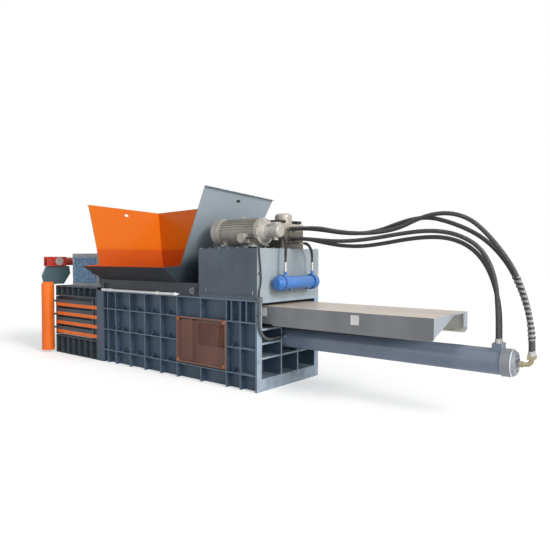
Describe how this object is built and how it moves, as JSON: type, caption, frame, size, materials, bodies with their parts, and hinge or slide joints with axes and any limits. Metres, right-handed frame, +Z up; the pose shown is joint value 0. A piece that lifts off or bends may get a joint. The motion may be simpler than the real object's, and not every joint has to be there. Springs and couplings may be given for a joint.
{
  "type": "horizontal baler",
  "caption": "Horizontal hydraulic recycling baler with ribbed press box, feed hopper, power unit on top, long main cylinder with hoses, and a clamped outlet.",
  "frame": {"origin": "on the floor, under the middle of the press box", "axes": "+X along the machine towards the main cylinder's tail, +Z up, -Y the long side with the guarded window"},
  "size_m": [8.3358, 1.9519, 2.745],
  "materials": {
    "frame_paint": "satin blue-grey paint",
    "hopper_paint": "satin orange paint inside, grey outside",
    "orange_paint": "satin orange paint",
    "guard_paint": "satin brown-orange paint",
    "tank_paint": "satin grey paint",
    "ram_paint": "worn grey paint",
    "knife_steel": "ground",
    "cylinder_paint": "satin grey paint",
    "machined_steel": "machined",
    "rod_chrome": "polished",
    "motor_paint": "satin light grey paint",
    "fan_plastic": "matte black",
    "valve_coils": "matte dark grey",
    "cooler_paint": "gloss blue paint",
    "pull_paint": "gloss red paint",
    "cover_paint": "satin blue paint",
    "hose_rubber": "matte black",
    "cable_plastic": "matte black"
  },
  "bodies": {
    "machine": {"arch_hose_1": "hose_rubber", "arch_hose_2": "hose_rubber", "arch_hose_3": "hose_rubber", "arch_hose_4": "hose_rubber", "base_frame": "frame_paint", "bell_housing": "motor_paint", "bright_pipe": "rod_chrome", "cable_clips": "machined_steel", "conduit": "cable_plastic", "cooler_hose_1": "hose_rubber", "cooler_hose_2": "hose_rubber", "cylinder_barrel": "cylinder_paint", "exit_base": "frame_paint", "exit_top": "frame_paint", "fan_cowl": "motor_paint", "far_side_wall": "frame_paint", "filler_breather": "valve_coils", "fixed_knife": "knife_steel", "guard_knobs": "guard_paint", "guard_panel": "guard_paint", "hinge_pins": "machined_steel", "hopper_back_wall": "hopper_paint", "hopper_base": "hopper_paint", "hopper_front_flap": "hopper_paint", "hopper_left_wall": "hopper_paint", "hopper_right_wall": "hopper_paint", "hose_ferrules": "machined_steel", "motor_body": "motor_paint", "motor_cable": "cable_plastic", "near_side_wall": "frame_paint", "oil_cooler": "cooler_paint", "oil_tank": "tank_paint", "pump": "motor_paint", "rear_frame": "frame_paint", "return_filter": "valve_coils", "roof_plates": "frame_paint", "solenoid_valves": "valve_coils", "tail_cap": "machined_steel", "tail_elbow": "machined_steel", "tank_lid": "tank_paint", "valve_block": "machined_steel", "valve_cover": "cover_paint"},
    "ram": {"ram_body": "ram_paint", "ram_knife": "knife_steel", "ram_shoes": "knife_steel", "follower_plate": "ram_paint", "piston_rod": "rod_chrome"},
    "near_arm": {"near_arm_wall": "frame_paint", "near_bars": "orange_paint", "near_post": "orange_paint", "near_head": "frame_paint"},
    "far_arm": {"far_arm_wall": "frame_paint", "far_bars": "orange_paint", "far_post": "orange_paint", "far_head": "frame_paint"},
    "pull_barrel": {"tension_barrel": "pull_paint"},
    "pull_rod": {"tension_rod": "pull_paint"},
    "rotor": {"motor_fan": "fan_plastic", "motor_shaft": "machined_steel"}
  },
  "joints": [
    {"name": "ram_slide", "type": "slide", "parent": "machine", "child": "ram", "axis": [-1, 0, 0], "range_m": [0, 2.08]},
    {"name": "near_arm_hinge", "type": "hinge", "parent": "machine", "child": "near_arm", "pos_m": [-1.855, -0.645, 0.69], "axis": [0, 0, 1], "range_deg": [-3, 0]},
    {"name": "far_arm_hinge", "type": "hinge", "parent": "machine", "child": "far_arm", "pos_m": [-1.855, 0.645, 0.69], "axis": [0, 0, 1], "range_deg": [0, 3]},
    {"name": "pull_barrel_pivot", "type": "hinge", "parent": "near_arm", "child": "pull_barrel", "pos_m": [-3.272, -0.59, 1.68], "axis": [0, 0, 1], "range_deg": [0, 3]},
    {"name": "pull_rod_pivot", "type": "hinge", "parent": "far_arm", "child": "pull_rod", "pos_m": [-3.272, 0.59, 1.68], "axis": [0, 0, 1], "range_deg": [-3, 0]},
    {"name": "rotor_spin", "type": "hinge", "parent": "machine", "child": "rotor", "pos_m": [0.9, -0.4, 2.105], "axis": [1, 0, 0], "continuous": true}
  ],
  "couplings": [
    {"joint": "far_arm_hinge", "follows": "near_arm_hinge", "ratio": -1},
    {"joint": "pull_barrel_pivot", "follows": "near_arm_hinge", "ratio": -1},
    {"joint": "pull_rod_pivot", "follows": "near_arm_hinge", "ratio": 1}
  ]
}
